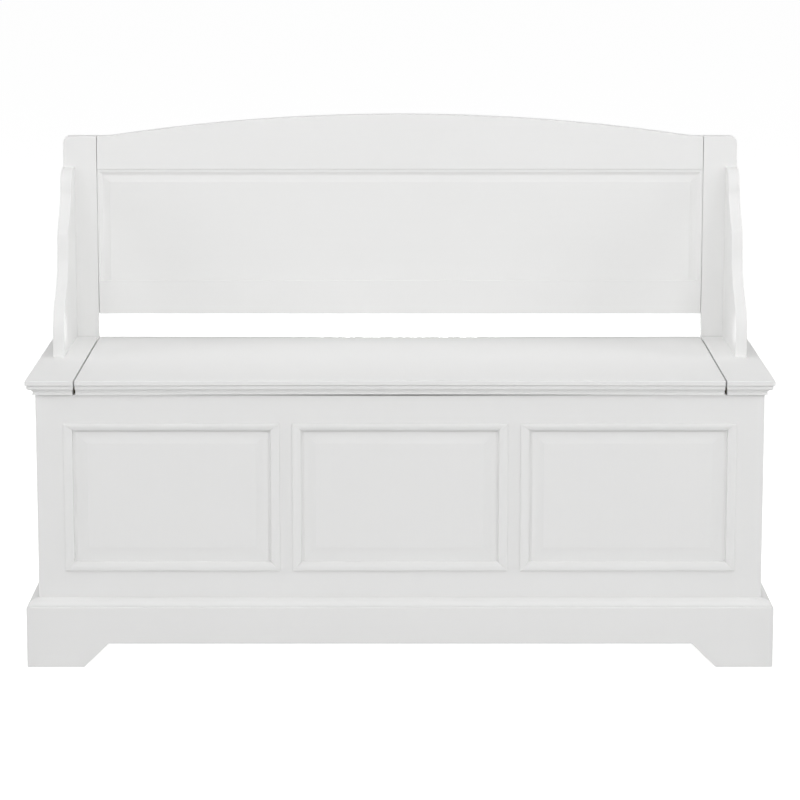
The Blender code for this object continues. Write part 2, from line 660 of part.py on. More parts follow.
clear_scene()
PAINT = finish("white_paint", (0.80, 0.80, 0.79), 0.42)
BARE_WOOD = finish("bare_pine", (0.62, 0.46, 0.29), 0.70)
GLIDE_NYLON = finish("glide_nylon", (0.16, 0.15, 0.14), 0.55)
BUMPER_FELT = finish("bumper_felt", (0.55, 0.54, 0.51), 0.90)
HINGE_STEEL = finish("hinge_steel", (0.58, 0.57, 0.55), 0.35, 1.0)
BOLT_STEEL = finish("bolt_steel", (0.45, 0.45, 0.46), 0.40, 1.0)

make_plinth()
make_base_moulding()
make_feet()
make_front_frame()
make_front_panels()
rear_board = make_carcass()
make_end_caps()
lid_pivot = bpy.data.objects.new("lid_pivot", None)
bpy.context.collection.objects.link(lid_pivot)
lid_pivot.location = HINGE_AXIS
make_lid(lid_pivot)
make_hinges(lid_pivot)
make_back(rear_board)
make_wings()
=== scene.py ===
"""The looks of a painted hall bench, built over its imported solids.

Metres, +Z up, front towards -Y. The sections follow the bench as it is put together: plinth, box, seat,
lid, back and wings, then the room that it stands in.
"""

import json
import math

import bmesh
import bpy
import numpy as np
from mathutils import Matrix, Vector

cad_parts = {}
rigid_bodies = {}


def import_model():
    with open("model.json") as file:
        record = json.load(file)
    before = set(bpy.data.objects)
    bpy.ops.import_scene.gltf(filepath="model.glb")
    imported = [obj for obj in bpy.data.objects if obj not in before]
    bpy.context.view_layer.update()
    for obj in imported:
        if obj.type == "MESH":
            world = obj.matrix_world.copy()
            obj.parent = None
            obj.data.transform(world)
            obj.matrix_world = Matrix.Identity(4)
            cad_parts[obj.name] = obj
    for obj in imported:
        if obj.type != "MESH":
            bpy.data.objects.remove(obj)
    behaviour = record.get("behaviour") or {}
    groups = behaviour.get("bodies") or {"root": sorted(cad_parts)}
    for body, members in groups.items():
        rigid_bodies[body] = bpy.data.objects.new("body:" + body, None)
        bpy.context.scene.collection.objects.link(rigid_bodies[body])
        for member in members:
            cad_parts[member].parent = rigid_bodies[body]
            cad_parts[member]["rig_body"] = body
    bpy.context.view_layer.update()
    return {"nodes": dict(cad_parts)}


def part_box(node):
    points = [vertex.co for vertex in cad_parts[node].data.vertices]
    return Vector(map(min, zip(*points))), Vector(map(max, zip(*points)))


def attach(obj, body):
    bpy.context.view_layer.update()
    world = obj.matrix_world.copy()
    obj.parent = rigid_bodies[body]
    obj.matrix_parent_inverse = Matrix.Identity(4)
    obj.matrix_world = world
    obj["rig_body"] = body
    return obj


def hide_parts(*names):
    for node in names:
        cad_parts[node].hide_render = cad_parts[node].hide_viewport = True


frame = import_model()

# Plinth
# Boards about 20 mm thick wrap the foot of the box, sawn out below to leave bracket feet. They are
# mitred and glued at the front corners, sanded and sprayed with the rest; a plain rail closes the rear.
FOOT_WIDTH = 0.097
FOOT_SPLAY = 0.042
FOOT_ROUND = 0.004
FOOT_EASE = 0.001
CUTOUT_TOP = 0.043
PLINTH_RIM = 0.0006
LEDGE_RIM = 0.0014
LEDGE_BAND = 0.002
LEDGE_CORNER = 0.0016
MITRE_REACH = 0.080
WHITE = (0.84, 0.84, 0.835, 1.0)
FINISH = {"Colour": "Color", "Roughness": "Float", "Height": "Float"}


def add(tree, kind, inputs=None, **settings):
    """Adds a shader node. Settings are its properties; an input is a socket to link or a plain value."""
    made = tree.nodes.new(kind)
    for key, value in settings.items():
        setattr(made, key, value)
    for key, value in (inputs or {}).items():
        if isinstance(value, bpy.types.NodeSocket):
            tree.links.new(value, made.inputs[key])
        else:
            made.inputs[key].default_value = value
    return made


def noise(tree, place, scale, detail):
    """Cloudy noise between 0 and 1 at a place."""
    return add(tree, "ShaderNodeTexNoise", {"Vector": place, "Scale": scale, "Detail": detail}).outputs[0]


def swing(tree, value, middle, spread):
    """Turns a value between 0 and 1 into one that swings by half the spread about the middle."""
    inputs = {0: value, 1: spread, 2: middle - spread / 2}
    return add(tree, "ShaderNodeMath", inputs, operation="MULTIPLY_ADD").outputs[0]


def effect(name, inputs):
    """An empty shader group that makes a finish; gives the group, its input node and its output node."""
    group = bpy.data.node_groups.new(name, "ShaderNodeTree")
    for way, sockets in (("INPUT", inputs), ("OUTPUT", FINISH)):
        for socket, kind in sockets.items():
            group.interface.new_socket(socket, in_out=way, socket_type=f"NodeSocket{kind}")
    return group, group.nodes.new("NodeGroupInput"), group.nodes.new("NodeGroupOutput")


def surface(name):
    """A new material; gives it, its node tree and the place on the object."""
    material = bpy.data.materials.new(name)
    material.use_nodes = True
    tree = material.node_tree
    return material, tree, add(tree, "ShaderNodeTexCoord").outputs["Object"]


def coat(tree, colour, roughness, height, strength, depth):
    """Links a material's shader to a colour, a roughness and a bump of that depth; gives the shader."""
    shader = tree.nodes["Principled BSDF"]
    bump = add(tree, "ShaderNodeBump", {"Strength": strength, "Distance": depth, "Height": height})
    for socket, value in (("Base Color", colour), ("Roughness", roughness), ("Normal", bump.outputs[0])):
        tree.links.new(value, shader.inputs[socket])
    return shader


def sprayed_film():
    """Sprayed paint: soft clouding of its colour and gloss, faint raised grain and fine orange peel."""
    sockets = {"Place": "Vector", "Grain place": "Vector", "Colour": "Color"}
    group, given, made = effect("sprayed_film", sockets)
    place = given.outputs["Place"]
    clouds = noise(group, place, 3.5, 3.0)
    gloss = noise(group, place, 11.0, 2.0)
    peel = noise(group, place, 520.0, 1.0)
    grain = noise(group, given.outputs["Grain place"], 1.0, 4.0)
    shades = {0: swing(group, clouds, 1.0, 0.03), 1: swing(group, grain, 1.0, 0.012)}
    tone = add(group, "ShaderNodeMath", shades, operation="MULTIPLY").outputs[0]
    shaded = {0: given.outputs["Colour"], "Scale": tone}
    colour = add(group, "ShaderNodeVectorMath", shaded, operation="SCALE")
    sheen = {0: swing(group, gloss, 0.56, 0.10), 1: swing(group, peel, 0.0, 0.05)}
    rough = add(group, "ShaderNodeMath", sheen)
    height = add(group, "ShaderNodeMath", {0: swing(group, peel, 0.0, 0.6), 1: grain})
    for socket, value in zip(FINISH, (colour, rough, height)):
        group.links.new(value.outputs[0], made.inputs[socket])
    return group


FILM = sprayed_film()


def painted(axis):
    """Satin white paint on a board whose grain runs along the given axis, 0 to 2 for X to Z."""
    material, tree, place = surface(f"white_paint_{'xyz'[axis]}")
    stretch = [260.0, 260.0, 260.0]
    stretch[axis] = 7.0
    grain_place = add(tree, "ShaderNodeMapping", {"Vector": place, "Scale": stretch}).outputs[0]
    given = {"Place": place, "Grain place": grain_place, "Colour": WHITE}
    film = add(tree, "ShaderNodeGroup", given, node_tree=FILM).outputs
    shader = coat(tree, film["Colour"], film["Roughness"], film["Height"], 0.25, 0.00004)
    shader.inputs["Specular IOR Level"].default_value = 0.3
    return material


PAINT = [painted(axis) for axis in range(3)]


def rounded(corners, steps=6):
    """A closed outline through corners (a, b, radius), counter-clockwise.

    Each corner becomes an arc that touches both of its edges: the heading turns evenly from one edge's to
    the next one's, and a point lies one radius to the right of the arc's centre, seen along its heading.
    """
    table = np.array(corners, float)
    place, radius = table[:, :2], table[:, 2]
    run = np.roll(place, -1, 0) - place
    leaving = np.arctan2(run[:, 1], run[:, 0])
    arriving = np.roll(leaving, 1)
    turn = (leaving - arriving + np.pi) % (2 * np.pi) - np.pi
    bend = np.sign(turn) * radius
    ahead = np.stack([np.cos(arriving), np.sin(arriving)], 1)
    left = np.stack([-np.sin(arriving), np.cos(arriving)], 1)
    centre = place - (bend * np.tan(turn / 2))[:, None] * ahead + bend[:, None] * left
    heading = arriving[:, None] + turn[:, None] * np.linspace(0, 1, steps + 1)
    aside = np.stack([np.sin(heading), -np.cos(heading)], -1)
    return (centre[:, None] + bend[:, None, None] * aside).reshape(-1, 2)


def outward(outline):
    """Unit normals of a closed counter-clockwise outline: the chord across a point, turned to the right."""
    chord = np.roll(outline, -1, 0) - np.roll(outline, 1, 0)
    normal = np.stack([chord[:, 1], -chord[:, 0]], 1)
    return normal / np.linalg.norm(normal, axis=1, keepdims=True)


def rim_steps(low, high, rim, steps=4):
    """Insets and places of the rings along a board from low to high with both rims rounded.

    At angle t of a rim, from the flat end to the side, the ring lies in by rim (1 - cos t) and is
    rim (1 - sin t) from the end.
    """
    turn = np.radians(np.linspace(90, 0, steps + 1))[:, None]
    inset, short = rim * (1 - np.cos(turn)), rim * (1 - np.sin(turn))
    return np.concatenate([inset, inset[::-1]]), np.concatenate([low + short, high - short[::-1]])


def slab(outline, axis, low, high, rim):
    """Rings of a board: an outline drawn across the axis, carried from low to high, with rounded rims.

    The rim may be one radius, or one for each point of the outline.
    """
    inset, along = rim_steps(low, high, np.broadcast_to(rim, len(outline)))
    return np.insert(outline - inset[..., None] * outward(outline), axis, along, axis=2)


def skin(node, material, shells, hoop=False, sharp=30.0, name=None):
    """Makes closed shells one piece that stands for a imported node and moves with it.

    A shell is a grid of rings by points. Quads join each ring to the next; the first and last ring are
    filled or, on a hoop, joined to each other. A piece with a name of its own is an addition to the node.
    """
    points, faces, first = [], [], 0
    for rings in shells:
        count, around = rings.shape[:2]
        index = first + np.arange(count * around).reshape(count, around)
        low = index if hoop else index[:-1]
        high = np.roll(index, -1, 0)[:len(low)]
        quads = np.stack([low, np.roll(low, -1, 1), np.roll(high, -1, 1), high], -1)
        faces += quads.reshape(-1, 4).tolist()
        if not hoop:
            faces += [index[0][::-1].tolist(), index[-1].tolist()]
        points.append(rings.reshape(-1, 3))
        first += count * around
    mesh = bpy.data.meshes.new(name or f"{node}_finished")
    mesh.from_pydata(np.concatenate(points), [], faces)
    shape = bmesh.new()
    shape.from_mesh(mesh)
    bmesh.ops.recalc_face_normals(shape, faces=shape.faces)
    shape.to_mesh(mesh)
    shape.free()
    mesh.shade_smooth()
    mesh.set_sharp_from_angle(angle=math.radians(sharp))
    mesh.materials.append(material)
    piece = bpy.data.objects.new(mesh.name, mesh)
    bpy.context.scene.collection.objects.link(piece)
    even = piece.modifiers.new("even_shading", "WEIGHTED_NORMAL")
    even.keep_sharp = True
    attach(piece, frame["nodes"][node]["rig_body"])
    if name is None:
        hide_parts(node)


def box_of(node):
    """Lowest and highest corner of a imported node, as arrays."""
    return [np.array(corner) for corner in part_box(node)]


def framed(axis, sides, along, radius, steps=4):
    """Rings of a board with a rectangular outline and a quarter arc of its own radius at each corner.

    Ring k runs from sides[0][k] to sides[1][k] and from sides[2][k] to sides[3][k], at along[k] of the
    axis. The corners come in the order right low, right high, left high, left low.
    """
    left, right, low, high, along = np.broadcast_arrays(*sides, along)
    turn = np.radians(np.linspace(-90, 0, steps + 1) + 90 * np.arange(4)[:, None])
    radius = np.broadcast_to(radius, 4)[:, None]
    toward = np.array([[-1, 1], [-1, -1], [1, -1], [1, 1]])
    across = np.stack([right, right, left, left], 1)[..., None] + radius * (toward[:, :1] + np.cos(turn))
    up = np.stack([low, high, high, low], 1)[..., None] + radius * (toward[:, 1:] + np.sin(turn))
    flat = np.stack([across, up], -1).reshape(len(along), -1, 2)
    return np.insert(flat, axis, along[:, None], axis=2)


def board(node, axis, ease=0.001, corners=None, grow=(0, 0, 0), short=0, material=None):
    """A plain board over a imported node's box, with its ends along the axis and its long edges eased.

    It is larger than the box by grow at both ends of each axis, and shorter at the axis' high end.
    """
    low, high = box_of(node)
    low, high = low - np.array(grow), high + np.array(grow)
    high[axis] -= short
    inset, along = (steps.ravel() for steps in rim_steps(low[axis], high[axis], ease))
    a, b = [i for i in range(3) if i != axis]
    sides = low[a] + inset, high[a] - inset, low[b] + inset, high[b] - inset
    rings = framed(axis, sides, along, ease if corners is None else corners)
    grain = int(np.argmax(high - low))
    skin(node, material or PAINT[grain], [rings])


def plinth_board(corners, axis, low, high):
    """Rings of a plinth board across the axis, with a fuller round along its top than elsewhere."""
    outline = rounded(corners)
    rim = np.where(outline[:, 1] > high[2] - LEDGE_BAND, LEDGE_RIM, PLINTH_RIM)
    return slab(outline, axis, low[axis], high[axis], rim)


low, high = box_of("plinth_front")
half, face = high[0], low[1]
foot, neck = half - FOOT_WIDTH, half - FOOT_WIDTH - FOOT_SPLAY
right = [(neck, CUTOUT_TOP, FOOT_ROUND), (foot, low[2], FOOT_ROUND)]
right += [(half, low[2], FOOT_EASE), (half, high[2], LEDGE_CORNER)]
left = [(-across, up, radius) for across, up, radius in reversed(right)]
rings = plinth_board(right + left, 1, low, high)
mitre = np.clip((abs(rings[..., 0]) - half + MITRE_REACH) / MITRE_REACH, 0, 1) * np.sign(rings[..., 0])
rings[..., 0] -= mitre * (rings[..., 1] - face)
skin("plinth_front", PAINT[0], [rings])
for word, outer_side in (("left", 0), ("right", 1)):
    low, high = box_of(f"plinth_{word}")
    near, far = low[1] + FOOT_WIDTH, high[1] - FOOT_WIDTH
    corners = [(near, low[2], FOOT_ROUND), (near + FOOT_SPLAY, CUTOUT_TOP, FOOT_ROUND)]
    corners += [(far - FOOT_SPLAY, CUTOUT_TOP, FOOT_ROUND), (far, low[2], FOOT_ROUND)]
    corners += [(high[1], low[2], FOOT_EASE), (high[1], high[2], LEDGE_CORNER)]
    corners += [(low[1], high[2], LEDGE_CORNER), (low[1], low[2], FOOT_EASE)]
    rings = plinth_board(corners, 0, low, high)
    mitre = np.clip(1 - (rings[..., 1] - low[1]) / MITRE_REACH, 0, 1)
    rings[..., 1] += mitre * abs(rings[..., 0] - (low, high)[outer_side][0])
    skin(f"plinth_{word}", PAINT[1], [rings])
board("plinth_rear", 0)

# Base moulding
# Sticks with a flattened quarter round, glued on the plinth against the box and mitred in front. They
# leave a narrow ledge of the plinth in front of them, which catches the light as a bright line.
MOULDING_FILLET = 0.002
MOULDING_NECK = 0.002
MOULDING_QUIRK = 0.001
OVOLO_FOOT_PULL = (-0.05, 0.4)
OVOLO_HEAD_PULL = (0.55, -0.08)
HAIR = 0.0003


def bezier(start, pull_start, pull_end, end, steps=16):
    """Points of a cubic curve: its four points weighted by the Bernstein polynomials of t from 0 to 1."""
    t = np.linspace(0, 1, steps + 1)[:, None]
    s = 1 - t
    weights = np.concatenate([s**3, 3 * s * s * t, 3 * s * t * t, t**3], 1)
    return weights @ np.array([start, pull_start, pull_end, end], float)


def carried(profile, places, across, up=(0, 0, 1)):
    """Rings of a moulding: profile point (u, v) lies at place + u across + v up, at each place of the run.

    At a mitre, across is the diagonal, as long as it has to be for both runs to keep their width.
    """
    places, across, up = np.array(places, float), np.array(across, float), np.array(up, float)
    return places[:, None] + profile[:, :1] * across[:, None] + profile[:, 1:] * up


stile_low, stile_high = box_of("front_stile_left")
BOX_HALF, BOX_FACE, BOX_REAR = -stile_low[0], stile_low[1], box_of("side_panel_left")[1][1]
low, high = box_of("base_moulding_front")
foot = np.array([BOX_FACE - low[1], low[2] + MOULDING_FILLET])
head = np.array([MOULDING_NECK, high[2]])
span = abs(head - foot)
ovolo = bezier(foot, foot + OVOLO_FOOT_PULL * span, head + OVOLO_HEAD_PULL * span, head)
bottom = [(HAIR, low[2] - HAIR), (foot[0], low[2] - HAIR)]
base_profile = np.concatenate([bottom, ovolo, [(HAIR, high[2] - MOULDING_QUIRK)]])
places = [(side * (BOX_HALF - HAIR), BOX_FACE, 0) for side in (-1, 1)]
skin("base_moulding_front", PAINT[0], [carried(base_profile, places, [(-1, -1, 0), (1, -1, 0)])])
for word, side in (("left", -1), ("right", 1)):
    places = [(side * BOX_HALF, BOX_FACE + HAIR, 0), (side * BOX_HALF, BOX_REAR, 0)]
    rings = carried(base_profile, places, [(side, -1, 0), (side, 0, 0)])
    skin(f"base_moulding_{word}", PAINT[1], [rings])

# Corner blocks and glides
# Sawn pine blocks are glued into the corners under the box, behind the plinth. A moulded nylon glide is
# nailed under each, so that the bench stands on the glides and the plinth stays clear of the floor.
PINE_PALE = (0.66, 0.47, 0.27, 1.0)
PINE_DARK = (0.43, 0.25, 0.11, 1.0)
NYLON = (0.16, 0.15, 0.14, 1.0)
NYLON_PALE = (0.20, 0.19, 0.18, 1.0)
SAWN_EASE = 0.0012
GLIDE_EDGE = 0.0012


def pine_figure():
    """Sawn pine: growth rings round a wandering pith, seen as bands along the board, and fine fibres."""
    group, given, made = effect("pine_figure", {"Place": "Vector"})
    place = given.outputs["Place"]
    wander = add(group, "ShaderNodeTexNoise", {"Vector": place, "Scale": 2.0, "Detail": 2.0}).outputs[1]
    shifted = {0: wander, 1: (0.5, 0.5, 0.5), 2: place}
    bent = add(group, "ShaderNodeVectorMath", shifted, operation="MULTIPLY_ADD").outputs[0]
    rings = add(group, "ShaderNodeTexWave", {"Vector": bent, "Scale": 1.6, "Distortion": 2.0})
    rings.wave_type, rings.rings_direction, rings.wave_profile = "RINGS", "X", "SAW"
    drawn = {0: place, 1: (1.0, 24.0, 24.0)}
    fibre_place = add(group, "ShaderNodeVectorMath", drawn, operation="MULTIPLY").outputs[0]
    fibre = noise(group, fibre_place, 4.0, 4.0)
    late = add(group, "ShaderNodeMath", {0: rings.outputs[1], 1: fibre}, operation="MULTIPLY").outputs[0]
    ramp = add(group, "ShaderNodeValToRGB", {0: late})
    early_stop, late_stop = ramp.color_ramp.elements
    early_stop.color, early_stop.position = PINE_PALE, 0.15
    late_stop.color, late_stop.position = PINE_DARK, 0.75
    for socket, value in zip(FINISH, (ramp.outputs[0], swing(group, late, 0.68, -0.18), fibre)):
        group.links.new(value, made.inputs[socket])
    return group


PINE_FIGURE = pine_figure()


def pine(axis):
    """Bare pine whose grain runs along the given axis."""
    material, tree, place = surface(f"bare_pine_{'xyz'[axis]}")
    turn = [(0, 0, 0), (0, 0, -math.pi / 2), (0, math.pi / 2, 0)][axis]
    along = add(tree, "ShaderNodeMapping", {"Vector": place, "Rotation": turn}).outputs[0]
    long = add(tree, "ShaderNodeMapping", {"Vector": along, "Scale": (3.0, 40.0, 40.0)}).outputs[0]
    figure = add(tree, "ShaderNodeGroup", {"Place": long}, node_tree=PINE_FIGURE).outputs
    coat(tree, figure["Colour"], figure["Roughness"], figure["Height"], 0.5, 0.0003)
    return material


PINE = [pine(axis) for axis in range(3)]


def speckled(name, colour, tint, scale, roughness, depth):
    """A dull surface that runs from one colour to another in fine specks, which also stand out a little."""
    material, tree, place = surface(name)
    specks = noise(tree, place, scale, 3.0)
    mixed = add(tree, "ShaderNodeMix", {"Factor": specks, "A": colour, "B": tint}, data_type="RGBA")
    coat(tree, mixed.outputs[2], swing(tree, specks, roughness, 0.12), specks, 0.6, depth)
    return material


def upright(axis):
    """A direction as an array, with two directions square to it and to each other."""
    axis = np.array(axis, float)
    aside = np.roll(axis, 1)
    return axis, aside, np.cross(axis, aside)


def turned(profile, centre, axis, sides=48):
    """Rings of a round piece: (radius, height) points turned about an axis through the centre."""
    profile = np.array(profile, float)
    axis, aside, other = upright(axis)
    turn = np.linspace(0, 2 * np.pi, sides, endpoint=False)[:, None]
    rim = np.cos(turn) * aside + np.sin(turn) * other
    return np.array(centre, float) + profile[:, None, :1] * rim + profile[:, None, 1:] * axis


def quarter(centre, radius, start, end, steps=6):
    """Points of an arc about a centre, from one angle to the other in degrees."""
    turn = np.radians(np.linspace(start, end, steps + 1))
    return np.stack([centre[0] + radius * np.cos(turn), centre[1] + radius * np.sin(turn)], 1)


GLIDE = speckled("glide_nylon", NYLON, NYLON_PALE, 900.0, 0.55, 0.00004)
for row in ("front", "rear"):
    for word in ("left", "right"):
        board(f"corner_block_{row}_{word}", 2, SAWN_EASE, material=PINE[2])
        low, high = box_of(f"foot_glide_{row}_{word}")
        radius, thick = (high[0] - low[0]) / 2, high[2] - low[2]
        edge = quarter((radius - GLIDE_EDGE, GLIDE_EDGE), GLIDE_EDGE, -90, 0)
        rings = turned([*edge, (radius, thick)], [*(low + high)[:2] / 2, low[2]], (0, 0, 1))
        skin(f"foot_glide_{row}_{word}", GLIDE, [rings])

# Front frame
# Stiles, rails and muntins dowelled and glued flush, then filled and sprayed as one face, so that their
# joints don't show. The top rail rises a little to both ends, and the stiles end behind the seat's cove.
JOINT_EASE = 0.00012
CORNER_EASE = 0.0015
RAIL_RISE = 0.0019
RISE_START = 0.050
RISE_STEPS = 60
SEAM_STEP = 4 * JOINT_EASE
STILE_SHORT = 0.0117
FILLING = 0.00025

low, high = box_of("front_top_rail")
low[0], high[0] = low[0] - FILLING, high[0] + FILLING
seam = box_of("end_cap_right")[0][0]
frame_top = stile_high[2] - STILE_SHORT
across = np.linspace(seam, -seam, RISE_STEPS)
share = np.clip((abs(across) - RISE_START) / (seam - RISE_START), 0, 1)
crown = np.stack([across, high[2] + RAIL_RISE * share], 1)
right_end = [(high[0], low[2]), (high[0], frame_top), (seam + SEAM_STEP, frame_top)]
left_end = [(-seam - SEAM_STEP, frame_top), (low[0], frame_top)]
outline = np.concatenate([[(low[0], low[2])], right_end, crown, left_end])
skin("front_top_rail", PAINT[0], [slab(outline, 1, low[1], high[1], JOINT_EASE)])
board("front_bottom_rail", 0, JOINT_EASE, grow=(FILLING, 0, 0))
outer_corner = [CORNER_EASE, JOINT_EASE, JOINT_EASE, JOINT_EASE]
for word, side in (("left", -1), ("right", 1)):
    board(f"front_stile_{word}", 2, JOINT_EASE, outer_corner[::side], short=STILE_SHORT)
    board(f"front_muntin_{word}", 2, JOINT_EASE, grow=(0, 0, FILLING))

# Front panels and their mouldings
# Each raised panel floats in the frame: a flat field, a wide shallow bevel, a rim and a channel. A mitred
# bead frame is pinned over the joint, stands proud and drops into the channel. Its top stick is narrower.
PANEL_SETBACK = 0.0015
CHANNEL_DEPTH = 0.0036
CHANNEL_END = 0.0144
RIM_FALL = 0.002
RIM_ROUND = 0.0008
FIELD_INSET = 0.035
SCOOP_FLAT = 0.45
SCOOP_STEEP = 0.25
SCOOP_RISE = 0.55
BEAD_LAP = 0.0072
BEAD_WIDTH = 0.0156
BEAD_PROUD = 0.0042
BEAD_EDGE = 0.0025
BEAD_CROWN = 0.006
BEAD_CURL = 0.4
BEAD_ROLL = 0.003
BEAD_BREAK = 0.0148
BEAD_ARRIS = 0.0024
BREAK_PULL = (-0.002, 0.0004)
MITRE_GROOVE = 0.0007
TOP_STICK = 0.7
HEAD_LAP = 0.005
PANEL_FOOT = [(BEAD_LAP, 0), (FIELD_INSET, FIELD_INSET)]
PANEL_HEAD = [(HEAD_LAP, 0), (FIELD_INSET, FIELD_INSET - HEAD_LAP)]


def raised(node, face, edge, foot, head):
    """Rings of a raised panel, from its rear to its field.

    Ring k is the panel's rectangle less inset[k] at the sides, at the face plus drop[k], for the
    (inset, drop) points of the edge from the outside to the field. Foot and head turn these insets into
    those at the bottom and the top: each is two (inset, place) points, between which the places run evenly.
    """
    low, high = box_of(node)
    inset, drop = np.concatenate([[(0, high[1] - face)], edge]).T
    lower, upper = (np.interp(inset, *np.transpose(points)) for points in (foot, head))
    sides = low[0] + inset, high[0] - inset, low[2] + lower, high[2] - upper
    return framed(1, sides, face + drop, HAIR, 1)


def scoop(start, end, depth):
    """(inset, drop) points of a bevel, a cubic that starts flat at the margin and steepens to the field."""
    width = end - start
    flat = (start + SCOOP_FLAT * width, depth)
    steep = (end - SCOOP_STEEP * width, SCOOP_RISE * depth)
    return bezier((start, depth), flat, steep, (end, 0), 12)


def mitred(profile, corners, widths, up, sink):
    """Rings of a closed mitred frame, whose stick from corner k on is widths[k] times the profile's width.

    Point (u, v) lies at corner + u diagonal + v up, with a diagonal that keeps both sticks' widths. A
    corner has three rings: on the mitre the profile is lowered by sink, which leaves a fine groove, and
    the rings before and after it lie sink further along their own sticks.
    """
    corners, up = np.array(corners, float), np.array(up, float)
    leaving = np.roll(corners, -1, 0) - corners
    leaving = leaving / np.linalg.norm(leaving, axis=1, keepdims=True)
    arriving = np.roll(leaving, 1, 0)
    wide = np.array(widths)[:, None]
    flat = carried(profile, corners, np.roll(wide, 1, 0) * leaving - wide * arriving, up)
    before, after = flat - sink * arriving[:, None], flat + sink * leaving[:, None]
    return np.stack([before, flat - sink * up, after], 1).reshape(-1, len(profile), 3)


bead_top, bead_arris = (BEAD_CROWN, BEAD_PROUD), np.array([BEAD_BREAK, BEAD_ARRIS])
bead_edge = bezier((0, BEAD_EDGE), (0, BEAD_PROUD), (BEAD_CURL * BEAD_CROWN, BEAD_PROUD), bead_top)
bead_slope = bezier(bead_top, (BEAD_CROWN + BEAD_ROLL, BEAD_PROUD), bead_arris + BREAK_PULL, bead_arris)
under = -(PANEL_SETBACK + CHANNEL_DEPTH) + HAIR / 3
bead_rear = [(BEAD_WIDTH, under), (BEAD_LAP + HAIR, under), (BEAD_LAP + HAIR, HAIR)]
bead_profile = np.concatenate([[(0, HAIR)], bead_edge, bead_slope[1:], bead_rear])
rim = quarter((CHANNEL_END + RIM_ROUND, RIM_FALL + RIM_ROUND), RIM_ROUND, 180, 270, 4)
bevel = scoop(CHANNEL_END + 2 * RIM_ROUND, FIELD_INSET, RIM_FALL)
panel_edge = [(0, CHANNEL_DEPTH), (CHANNEL_END, CHANNEL_DEPTH), *rim, *bevel]
for word in ("left", "centre", "right"):
    rings = raised(f"front_panel_{word}", BOX_FACE + PANEL_SETBACK, panel_edge, PANEL_FOOT, PANEL_HEAD)
    skin(f"front_panel_{word}", PAINT[2], [rings], sharp=12)
    low, high = box_of(f"panel_moulding_{word}")
    places = [(low[0], BOX_FACE, low[2]), (high[0], BOX_FACE, low[2])]
    places += [(high[0], BOX_FACE, high[2]), (low[0], BOX_FACE, high[2])]
    rings = mitred(bead_profile, places, (1, 1, TOP_STICK, 1), (0, -1, 0), MITRE_GROOVE)
    skin(f"panel_moulding_{word}", PAINT[0], [rings], hoop=True, sharp=14)

# Box sides, back and floor
# Sprayed boards screwed and glued to the front frame. The floor lies on two pine cleats, and the back
# stops short of the lid so that the hinges fit between them.
SHEET_EASE = 0.0006
BACK_EASE = 0.0008
REAR_EASE = 0.001

for word in ("left", "right"):
    board(f"side_panel_{word}", 2, SHEET_EASE, (JOINT_EASE, REAR_EASE, REAR_EASE, JOINT_EASE))
board("box_back", 0, BACK_EASE)
board("box_floor", 0, SHEET_EASE)
for row in ("front", "rear"):
    board(f"floor_cleat_{row}", 0, SAWN_EASE, material=PINE[0])

# Seat ends
# Fixed boards over the ends of the box, with a nosing run round their front and outer edges. A cove
# moulding is mitred under the nosing, over the top of the box, and a pine bearer carries the inner edge.
NOSING_OVERHANG = 0.016
NOSING_HEIGHT = 0.0085
NOSING_ROUND = 0.0012
NOSING_STEP = 0.003
FILLET_EASE = 0.0004
QUIRK = 0.0008
QUIRK_DEPTH = 0.0008
QUIRK_SLOPE = 0.00005
SEAT_EASE = 0.0005
SLOT_CORNER = 0.0004
CAP_CORNER = 0.0015
CAP_BACK = 0.0006
CAP_REAR_GAP = 0.0016
COVE_SHORT = 0.002
COVE_FILLET = 0.001
COVE_FOOT = 0.0006
COVE_DEPTH = 0.0057
COVE_SETBACK = 0.0015
COVE_TURN = 34
RETURN_DEPTH = 0.0078

seat_low, seat_high = box_of("lid_board")
SEAT_UNDER, SEAT_TOP = seat_low[2], seat_high[2]


def nosing_steps():
    """(out, height) points up the moulded edge: an eased fillet, a narrow quirk and the nosing's rounds."""
    lip, rounds = SEAT_TOP - NOSING_HEIGHT, NOSING_OVERHANG - NOSING_ROUND
    fillet = NOSING_OVERHANG - NOSING_STEP
    foot = quarter((fillet - FILLET_EASE, SEAT_UNDER + FILLET_EASE), FILLET_EASE, -90, 0, 4)
    root = fillet - QUIRK_DEPTH
    quirk = [(fillet, lip - QUIRK), (root, lip - QUIRK + QUIRK_SLOPE), (root, lip - QUIRK_SLOPE)]
    under = quarter((rounds, lip + NOSING_ROUND), NOSING_ROUND, -90, 0)
    over = quarter((rounds, SEAT_TOP - NOSING_ROUND), NOSING_ROUND, 0, 90)
    return np.concatenate([foot, quirk, under, over]).T


def eased_side(height):
    """How far a plain edge lies in at each height: a quarter round of SEAT_EASE at the top and bottom."""
    near = np.minimum(np.minimum(height - SEAT_UNDER, SEAT_TOP - height), SEAT_EASE)
    return SEAT_EASE - np.sqrt(np.maximum(SEAT_EASE**2 - (SEAT_EASE - near) ** 2, 0))


